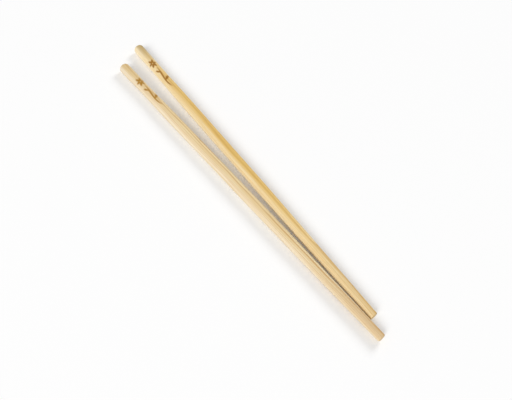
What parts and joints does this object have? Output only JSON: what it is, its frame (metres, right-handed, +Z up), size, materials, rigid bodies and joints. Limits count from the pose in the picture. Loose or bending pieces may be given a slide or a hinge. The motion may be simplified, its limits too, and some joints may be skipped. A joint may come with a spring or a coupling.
{
  "type": "pair of wooden chopsticks",
  "caption": "Pair of round turned wooden chopsticks with rounded handle ends, a slight waist and flat cut tips, lying with the tips together and the handles spread.",
  "frame": {"origin": "on the table, midway along and midway across the pair", "axes": "+X along the near stick from handle to tip, +Y from the near stick to the far stick, +Z up"},
  "size_m": [0.2514, 0.0257, 0.0069],
  "materials": {
    "pale_wood": "smooth, dry and unvarnished",
    "golden_wood": "smooth, dry and unvarnished"
  },
  "bodies": {
    "root": {"near_chopstick": "pale_wood", "far_chopstick": "golden_wood"}
  },
  "joints": []
}
